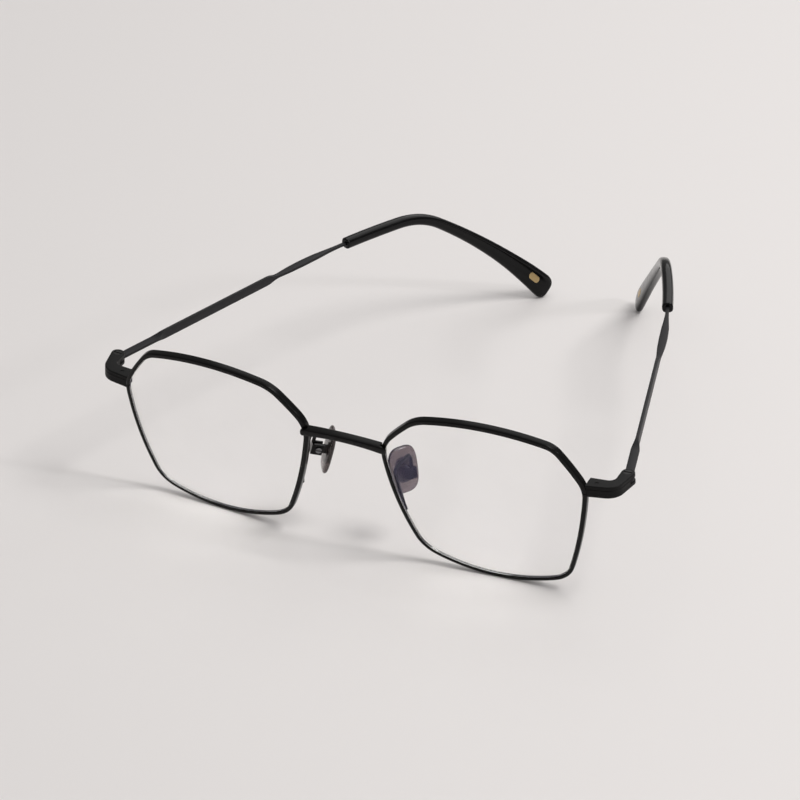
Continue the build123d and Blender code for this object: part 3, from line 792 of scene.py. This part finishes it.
def hinge_eye_rows(side):
    """Ring round the pin: hinge + (r cos t) across + (r sin t) back + h pin."""
    across, back, pin = hinge_axes(REST_TURN[side])
    inner, outer = EYE_RADII
    section = rounded_section(outer - inner, BAR_HEIGHT[0], 0.12)
    turn = np.linspace(0, 2 * np.pi, 56, endpoint=False)
    spoke = np.cos(turn)[:, None] * across + np.sin(turn)[:, None] * back
    reach = (inner + outer) / 2 + section[:, 0]
    rows = hinge_place + spoke[:, None] * reach[None, :, None] + section[None, :, 1:] * pin
    return rows if side == "right" else mirrored(rows)


bars = {}
for side in ("left", "right"):
    shells = [(hinge_eye_rows(side), True), (bar_rows(side), False)]
    body = "temple_" + side
    bars[side] = skin("temple_strip_" + side, shells, body, "temple_bar_" + side)

# %% [markdown]
# ## Ear tips
# A tip is a moulded sleeve of glossy plastic: round where the bar goes in, and taller and
# flatter toward its end. Its section lies between an ellipse and a rectangle, which signed
# powers of cosine and sine give. One grid makes the whole sleeve: it starts at the bottom
# of the bore, comes out at the front face, and goes along the outside to the end. The end
# is round when seen from the side: its height follows a power curve down to nothing. Its
# last part sags a little, so that the round end still rests on the table.

# %% Section and ends of a tip
TIP_THICK = 2.5
TIP_TALL = 7.0
TIP_AT_SHARES = np.array((0.0, 0.12, 0.26, 0.43, 0.60, 0.77, 0.90, 0.96, 1.0))
TIP_TALL_SHARES = np.array((0.40, 0.40, 0.39, 0.42, 0.50, 0.65, 0.84, 0.92, 0.96))
TIP_THICK_SHARES = np.array((1.12, 1.14, 1.12, 1.08, 1.04, 1.0, 0.97, 0.92, 0.82))
TIP_SQUARENESS = 0.72
TIP_FIT = 0.985
TIP_FRONT_ROUND = 0.4
TIP_END_ROUND = 0.9
TIP_END_REACH = 3.6
TIP_END_POWER = 2.9
TIP_SAG = 0.22
TIP_SAG_POWER = 8
TIP_LEAST = 0.1
TIP_COLUMNS = 48


def superoval(wide, tall, power):
    """Signed powers: (w/2 sign(c) |c|^p, h/2 sign(s) |s|^p) for c, s of the turn."""
    turn = 2 * np.pi * (np.arange(TIP_COLUMNS) + 0.5) / TIP_COLUMNS
    c, s = np.cos(turn), np.sin(turn)
    section = np.stack([np.sign(c) * np.abs(c) ** power, np.sign(s) * np.abs(s) ** power], axis=-1)
    return section * np.stack([wide, tall], axis=-1)[:, None, :] / 2


def through(at, knots, values):
    """Cubic through the knots; each knot's slope is taken from its two neighbours."""
    slopes = np.gradient(values, knots)
    k = np.clip(np.searchsorted(knots, at, side="right") - 1, 0, len(knots) - 2)
    step = knots[k + 1] - knots[k]
    t = (at - knots[k]) / step
    start = (1 + 2 * t) * (1 - t) ** 2 * values[k] + t * (1 - t) ** 2 * step * slopes[k]
    return start + t**2 * (3 - 2 * t) * values[k + 1] + t**2 * (t - 1) * step * slopes[k + 1]


def quarter_round(distance, radius):
    """How far a rounded end has drawn in at a distance from its face: r - sqrt(r^2 - (r-d)^2)."""
    inside = np.clip(radius - distance, 0, radius)
    return radius - np.sqrt(radius**2 - inside**2)


def round_end(distance, reach, power):
    """Share of the height left at a distance from the end: (1 - (1 - d/reach)^p)^(1/p)."""
    inside = np.clip(1 - distance / reach, 0, 1)
    return (1 - inside**power) ** (1 / power)


share_left = round_end(1.0, TIP_END_REACH, TIP_END_POWER)
print("height left 1 mm from the end:", round(float(share_left), 2))

# %% Ear tips
BORE_WIDTH = 0.98
BORE_HEIGHT = 0.88
BORE_SPARE = 0.2
BORE_SQUARENESS = 0.4


def tip_rows(side):
    """Bore from its bottom to the front face, then the outside from the face to the end."""
    length = TEMPLE_LENGTH - TIP_START
    bend = 1 - np.cos(np.linspace(0, np.pi / 2, 9))
    run = np.linspace(TIP_FRONT_ROUND, length - TIP_END_ROUND, 150)
    out = np.concatenate([TIP_FRONT_ROUND * bend[:-1], run, length - TIP_END_ROUND * bend[-2::-1]])
    share = out / length
    front_in = quarter_round(out, TIP_FRONT_ROUND)
    drawn_in = front_in + quarter_round(length - out, TIP_END_ROUND)
    tall = TIP_FIT * TIP_TALL * through(share, TIP_AT_SHARES, TIP_TALL_SHARES)
    tall = (tall - 2 * front_in) * round_end(length - out, TIP_END_REACH, TIP_END_POWER)
    wide = TIP_FIT * TIP_THICK * through(share, TIP_AT_SHARES, TIP_THICK_SHARES) - 2 * drawn_in
    sections = superoval(wide, np.maximum(tall, TIP_LEAST), TIP_SQUARENESS)
    sections[..., 1] -= TIP_SAG * share[:, None] ** TIP_SAG_POWER
    outside = temple_rows(side, TIP_START + out, sections)
    deep = np.linspace(CORE_END + BORE_SPARE, TIP_START, 20)
    every = np.ones(len(deep))
    bore = superoval(every * BORE_WIDTH, every * BORE_HEIGHT, BORE_SQUARENESS)
    return np.concatenate([temple_rows(side, deep, bore), outside])


tips = {}
for side in ("left", "right"):
    node = "temple_tip_" + side
    rows = tip_rows(side)
    tips[side] = skin("ear_tip_" + side, [(rows, False)], "temple_" + side, node)
    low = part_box(node)[0]
    print("lowest point", round(float(rows[..., 2].min()), 3), "CAD", round(low[2] / MM, 3))

# %% [markdown]
# ## Inlays
# On the inner face of each tip sits a small plain oval plate of gold-coloured metal. It is
# a stadium shape, two half circles and two straight runs, with a softly crowned face. Rings
# of that outline shrink toward the middle while they rise.

# %% Inlays
INLAY_LENGTH = 3.94
INLAY_HEIGHT = 1.84
INLAY_DEPTH = 0.3
INLAY_FROM_END = 7.2
INLAY_SHARES = np.array((0.05, 0.5, 0.97, 1.0, 1.0, 0.985, 0.94, 0.75, 0.5, 0.25, 0.03))
INLAY_RISES = np.array((0.0, 0.0, 0.0, 0.03, 0.22, 0.27, 0.3, 0.31, 0.318, 0.322, 0.324))


def stadium(steps=20):
    """Half circles of half the height, moved apart: centre +- run + r (cos, sin)."""
    radius = INLAY_HEIGHT / 2
    turn = np.linspace(-np.pi / 2, np.pi / 2, steps)
    cap = radius * np.stack([np.cos(turn), np.sin(turn)], axis=-1)
    run = np.array((INLAY_LENGTH / 2 - radius, 0.0))
    return np.vstack([cap + run, -cap - run])


def inlay_rows(side):
    """Outline shrunk by shares and raised: a flat back, a wall and a crowned face."""
    at = np.array([TEMPLE_LENGTH - INLAY_FROM_END])
    corners = np.array([[(0.0, 0.0), (1.0, 0.0), (0.0, 1.0)]])
    corners = temple_rows(side, at, corners)[0]
    origin, outer, upper = corners if side == "right" else mirrored(corners)
    inward, up = origin - outer, upper - origin
    along = np.cross(up, inward)
    flat = stadium()[None] * INLAY_SHARES[:, None, None]
    height = TIP_THICK / 2 - INLAY_DEPTH + INLAY_RISES
    rows = origin + flat[..., :1] * along + flat[..., 1:] * up + height[:, None, None] * inward
    return rows if side == "right" else mirrored(rows)


inlays = {}
for side in ("left", "right"):
    shells = [(inlay_rows(side), False)]
    body = "temple_" + side
    inlays[side] = skin("plain_inlay_" + side, shells, body, "tip_inlay_" + side)

# %% [markdown]
# ## Nose pads
# A pad is a soft translucent lozenge, moulded round a stiff core. Its outline is a fat oval
# and its edge is round like a lens. The surface goes from the middle of the front over the
# edge to the middle of the back: the sine of that angle gives the share of the outline, and
# its cosine the depth. The core inside stays the CAD's, and shows through as a dark shape.

# %% Nose pads
PAD_OUT = 0.15
PAD_BACK = 4.5
PAD_HEIGHT_SHARE = 0.4652
PAD_SPLAY = math.radians(32.0)
PAD_PITCH = math.radians(14.0)
PAD_WIDTH = 7.8
PAD_HEIGHT = 11.5
PAD_THICKNESS = 1.6
PAD_POWER = 0.64
PAD_EDGE_POWER = 0.5
PAD_CROWN_POWER = 0.8
PAD_RINGS = 40
PAD_SIDES = 64

pad_centre = np.array(
    (NOSE_GAP / 2 + PAD_OUT, PAD_BACK + SHIFT_Y, LENS_HEIGHT * PAD_HEIGHT_SHARE + SHIFT_Z)
)
pad_facing = np.array(
    (
        -math.cos(PAD_SPLAY) * math.cos(PAD_PITCH),
        math.sin(PAD_SPLAY) * math.cos(PAD_PITCH),
        -math.sin(PAD_PITCH),
    )
)
pad_along = np.array((-math.sin(PAD_SPLAY), -math.cos(PAD_SPLAY), 0.0))
pad_up = np.cross(pad_facing, pad_along)


def pad_rows():
    """Rings: outline * sin(t)^edge power, half depth * cos(t)^crown power, with its sign."""
    slope = np.linspace(0.02, np.pi - 0.02, PAD_RINGS)
    share = np.sin(slope) ** PAD_EDGE_POWER
    level = np.cos(slope)
    depth = PAD_THICKNESS / 2 * np.sign(level) * np.abs(level) ** PAD_CROWN_POWER
    turn = 2 * np.pi * np.arange(PAD_SIDES) / PAD_SIDES
    c, s = np.cos(turn), np.sin(turn)
    x = PAD_WIDTH / 2 * np.sign(c) * np.abs(c) ** PAD_POWER
    y = PAD_HEIGHT / 2 * np.sign(s) * np.abs(s) ** PAD_POWER
    across = (share[:, None] * x)[..., None] * pad_along
    rise = (share[:, None] * y)[..., None] * pad_up
    return pad_centre + across + rise + depth[:, None, None] * pad_facing


pad_points = pad_rows()
pads = {
    "right": skin("soft_pad_right", [(pad_points, False)], "pad_right", "nose_pad_right"),
    "left": skin("soft_pad_left", [(mirrored(pad_points), False)], "pad_left", "nose_pad_left"),
}

# %% [markdown]
# ## Pad arms
# Each arm is a thin wire, brazed to the back of the rim, that rises, loops back over and
# drops into the top of the pad's box. Its route is five points, and a wire bender rounds
# the three inner ones with the same small radius, so each bend is an arc between two
# straight runs. The wire swells a little where the braze holds it to the rim.

# %% Bent wire
WIRE_RADIUS = 0.45
BRAZE_BITE = 0.12
BEND_RADIUS = 1.3


def eye_place(x_share, y_share, behind):
    """Point behind the middle of the rim, at shares of the lens box."""
    flat = np.array((LENS_WIDTH * x_share, RIM_WIDTH / 2 + LENS_HEIGHT * y_share))
    return on_eye(flat, np.array(-behind))


def bent_route(corners):
    """Straight runs and one arc at each inner corner, all in one array of points."""
    parts = [corners[:1]]
    for before, corner, after in zip(corners, corners[1:], corners[2:]):
        come = (before - corner) / np.linalg.norm(before - corner)
        go = (after - corner) / np.linalg.norm(after - corner)
        half = math.acos(float(np.clip(come @ go, -1, 1))) / 2
        middle_way = (come + go) / np.linalg.norm(come + go)
        centre = corner + middle_way * BEND_RADIUS / math.sin(half)
        swing = np.linspace(half - np.pi / 2, np.pi / 2 - half, 14)[:, None]
        sideways = (go - come) / np.linalg.norm(go - come)
        parts.append(centre + BEND_RADIUS * (np.sin(swing) * sideways - np.cos(swing) * middle_way))
    parts.append(corners[-1:])
    return np.vstack(parts)


def wire_rows(route, radius, sides=20):
    """Circles square to the route; one axis of each is kept square to the world's X."""
    run = np.gradient(route, axis=0)
    run = run / np.linalg.norm(run, axis=1, keepdims=True)
    first = np.cross(run, np.array((1.0, 0.0, 0.0)))
    first = first / np.linalg.norm(first, axis=1, keepdims=True)
    second = np.cross(run, first)
    turn = 2 * np.pi * np.arange(sides) / sides
    ring = np.cos(turn)[:, None] * first[:, None] + np.sin(turn)[:, None] * second[:, None]
    return route[:, None] + ring * np.asarray(radius)[:, None, None]


print("wire", 2 * WIRE_RADIUS, "mm thick, bent on a radius of", BEND_RADIUS, "mm")

# %% Pad arms
PAD_AXIS_BEHIND = 1.75
BOX_REACH = 1.5
BOX_RISE = 1.35
LOOP_RISE = 3.6
LOOP_AHEAD = 3.6
FOOT_SHARES = (-0.423, 0.318)
KNEE_SHARES = (-0.468, 0.56)
BRAZE_SWELL = 0.3
BRAZE_SWELL_LENGTH = 0.9


def arm_rows():
    """Foot on the rim, knee, front and back of the loop, top of the box."""
    behind = RIM_DEPTH / 2 + WIRE_RADIUS - BRAZE_BITE
    axis = pad_centre - pad_facing * (PAD_THICKNESS / 2 + PAD_AXIS_BEHIND)
    box_top = axis - pad_facing * BOX_REACH + pad_up * BOX_RISE
    loop_back = box_top + pad_up * LOOP_RISE
    corners = np.array(
        [
            eye_place(*FOOT_SHARES, behind),
            eye_place(*KNEE_SHARES, behind + WIRE_RADIUS),
            loop_back - np.array((0.0, LOOP_AHEAD, 0.0)),
            loop_back,
            box_top,
        ]
    )
    route = bent_route(corners)
    foot_run = np.linspace(0, 1, 9)[:-1, None]
    route = np.vstack([route[0] + (route[1] - route[0]) * foot_run, route[1:]])
    gone = np.linalg.norm(route - route[0], axis=1)
    swell = BRAZE_SWELL * np.exp(-((gone / BRAZE_SWELL_LENGTH) ** 2))
    return wire_rows(route, WIRE_RADIUS * (1 + swell))


arm_points = arm_rows()
arms = {
    "right": skin("pad_wire_right", [(arm_points, False)], "front", "pad_arm_right"),
    "left": skin("pad_wire_left", [(mirrored(arm_points), False)], "front", "pad_arm_left"),
}

# %% [markdown]
# ## One recipe for the finishes
# No real surface is one flat colour. Each finish here is a noise on Object coordinates that
# does three small things at once: it mixes two near colours, it moves the roughness a
# little, and it lifts the skin by a few thousandths of a millimetre. Plain numbers stay on
# the shader's own sockets. A stretch of the noise gives turned or brushed metal its lines.

# %% Finish recipe
def finish(name, colours, roughness, grain, relief, stretch=(1, 1, 1), **sockets):
    """Principled material whose noise mixes colours, roughness and relief, sizes in mm."""
    material, shader = new_material(name, (*colours[0], 1.0), roughness[0])
    tree = material.node_tree
    place = tree.nodes.new("ShaderNodeTexCoord")
    mapping = tree.nodes.new("ShaderNodeMapping")
    set_sockets(mapping, Scale=stretch)
    noise = tree.nodes.new("ShaderNodeTexNoise")
    set_sockets(noise, Scale=1 / (grain * MM), Detail=3.0)
    ramp = tree.nodes.new("ShaderNodeValToRGB")
    for stop, position, colour in zip(ramp.color_ramp.elements, (0.35, 0.65), colours):
        stop.position = position
        stop.color = (*colour, 1.0)
    rough = tree.nodes.new("ShaderNodeMapRange")
    set_sockets(rough, From_Min=0.3, From_Max=0.7, To_Min=roughness[0], To_Max=roughness[1])
    bump = tree.nodes.new("ShaderNodeBump")
    set_sockets(bump, Strength=0.3, Distance=relief * MM)
    link = tree.links.new
    link(place.outputs["Object"], mapping.inputs["Vector"])
    link(mapping.outputs["Vector"], noise.inputs["Vector"])
    link(noise.outputs[0], ramp.inputs["Fac"])
    link(ramp.outputs["Color"], shader.inputs["Base Color"])
    link(noise.outputs[0], rough.inputs["Value"])
    link(rough.outputs["Result"], shader.inputs["Roughness"])
    link(noise.outputs[0], bump.inputs["Height"])
    link(bump.outputs["Normal"], shader.inputs["Normal"])
    set_sockets(shader, **sockets)
    print("finish", name, "with a grain of", grain, "mm")
    return material


# %% [markdown]
# ## Black coated metal
# The front is coated in a satin black that hardly reflects, and shows only thin bright
# lines where the panel above meets an edge. The temples have the same coat with a drier,
# greyer look on their flat faces. A dark base, little specular and a middling roughness
# give both. Colour alone would look like a hole in the picture.

# %% Metal finishes
satin_black = finish(
    "satin_black", ((0.0016, 0.0015, 0.0014), (0.0036, 0.0034, 0.0032)), (0.17, 0.27), 0.25, 0.004,
    Specular_IOR_Level=0.16,
)
block_black = finish(
    "block_black", ((0.005, 0.005, 0.0049), (0.008, 0.008, 0.0078)), (0.36, 0.5), 0.18, 0.006,
    Specular_IOR_Level=0.13,
)
strip_charcoal = finish(
    "strip_charcoal", ((0.010, 0.0097, 0.011), (0.017, 0.0165, 0.0185)), (0.38, 0.5), 0.2, 0.005,
    Specular_IOR_Level=0.2,
)
screw_black = finish(
    "screw_black", ((0.006, 0.006, 0.006), (0.012, 0.0115, 0.011)), (0.3, 0.42), 0.12, 0.003,
    stretch=(1, 1, 6), Specular_IOR_Level=0.25,
)
screw_steel = finish(
    "screw_steel", ((0.11, 0.11, 0.112), (0.17, 0.17, 0.175)), (0.14, 0.26), 0.12, 0.003,
    stretch=(1, 1, 6), Metallic=1.0,
)
inlay_gold = finish(
    "inlay_gold", ((0.42, 0.30, 0.14), (0.56, 0.42, 0.22)), (0.3, 0.42), 0.15, 0.003,
    stretch=(1, 5, 1), Metallic=1.0,
)
washer_grey = finish(
    "washer_grey", ((0.05, 0.05, 0.052), (0.075, 0.075, 0.078)), (0.45, 0.6), 0.2, 0.004,
)

# %% [markdown]
# ## Plastics and glass
# The tips are polished black acetate, nearly a mirror at a low angle. The pads are smoky
# soft plastic, so light goes in and comes out blurred; their cores are dark. The lenses are
# clear with a thin violet coating, which tints only the reflection, and their ground edge
# is frosted. A lens casts no shadow here, because a render would make it far too dark.

# %% Plastic and glass finishes
polished_black = finish(
    "polished_black", ((0.0015, 0.0015, 0.0016), (0.003, 0.003, 0.0032)), (0.12, 0.2), 2.5, 0.004,
    Specular_IOR_Level=0.17, Coat_Weight=0.03, Coat_Roughness=0.06,
)
smoky_pad = finish(
    "smoky_pad", ((0.185, 0.148, 0.145), (0.245, 0.196, 0.192)), (0.12, 0.2), 1.2, 0.01,
    IOR=1.41, Transmission_Weight=0.85,
)
dark_core = finish(
    "dark_core", ((0.008, 0.007, 0.007), (0.02, 0.018, 0.017)), (0.4, 0.55), 0.3, 0.01,
)
coated_lens = finish(
    "coated_lens", ((0.985, 0.985, 0.985), (1.0, 1.0, 1.0)), (0.0, 0.012), 9.0, 0.0,
    IOR=1.5, Transmission_Weight=1.0, Specular_Tint=(0.14, 0.1, 0.5, 1.0),
)
frosted_edge = finish(
    "frosted_edge", ((0.16, 0.162, 0.165), (0.24, 0.24, 0.245)), (0.6, 0.75), 0.3, 0.01,
    IOR=1.5, Transmission_Weight=0.5, Specular_Tint=(0.3, 0.3, 0.3, 1.0),
)

# %% [markdown]
# ## Which piece wears what
# The dictionary gives every CAD node its finish, by the first part of its name, and the
# longest name that fits wins, so rim_screw isn't taken for a rim. The new skins are
# dressed after that by the groups in which they were made.

# %% Dressing
NODE_FINISH = {
    "rim": satin_black, "lens": coated_lens, "bridge": satin_black,
    "endpiece": block_black, "rim_screw": screw_black, "hinge_screw": screw_black,
    "hinge_washers": washer_grey, "temple_bar": strip_charcoal, "temple_tip": polished_black,
    "tip_inlay": inlay_gold, "pad_arm": satin_black, "pad_box": satin_black,
    "pad_screw": screw_steel, "pad_core": dark_core, "nose_pad": smoky_pad,
}


def dress(piece, *finishes):
    """Piece with these finishes in its slots, and nothing else."""
    piece.data.materials.clear()
    for material in finishes:
        piece.data.materials.append(material)


for name, node in nodes.items():
    kind = max((k for k in NODE_FINISH if name.startswith(k)), key=len)
    dress(node, NODE_FINISH[kind])
for piece in (rim_right, rim_left, bridge_bar, *arms.values()):
    dress(piece, satin_black)
for piece in (lens_right, lens_left):
    dress(piece, coated_lens, frosted_edge)
    piece.visible_shadow = False
GROUPS = (
    (blocks, block_black), (bars, strip_charcoal), (tips, polished_black),
    (inlays, inlay_gold), (pads, smoky_pad),
)
for group, material in GROUPS:
    for piece in group.values():
        dress(piece, material)
print("finishes:", len(bpy.data.materials))
